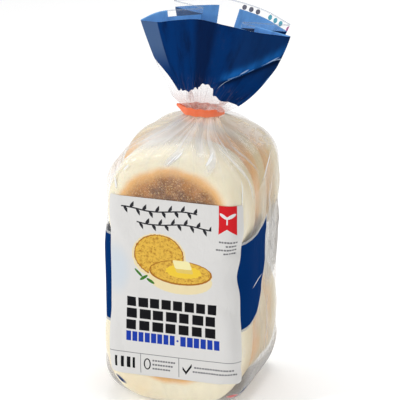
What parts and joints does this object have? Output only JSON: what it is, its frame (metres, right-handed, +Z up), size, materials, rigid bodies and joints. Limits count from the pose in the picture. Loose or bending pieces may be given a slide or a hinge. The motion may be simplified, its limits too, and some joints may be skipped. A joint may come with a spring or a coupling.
{
  "type": "bag of english muffins",
  "caption": "Upright gusseted film bag of English muffins, gathered in a band tie, with its loose end fanned out above.",
  "frame": {"origin": "centre of the flat base, on the surface the pack stands on", "axes": "+Z up towards the tie, -Y out of the front, where the label is, +X to the right as seen from the front"},
  "size_m": [0.1122, 0.092, 0.2481],
  "materials": {
    "clear_film": "clear film over the bread, gloss",
    "printed_film": "printed film, gloss",
    "bread": "soft floured crust with griddled faces, matte",
    "tie_band": "flat plastic band, satin"
  },
  "bodies": {
    "root": {"bag": "clear_film", "tie": "tie_band"}
  },
  "joints": []
}
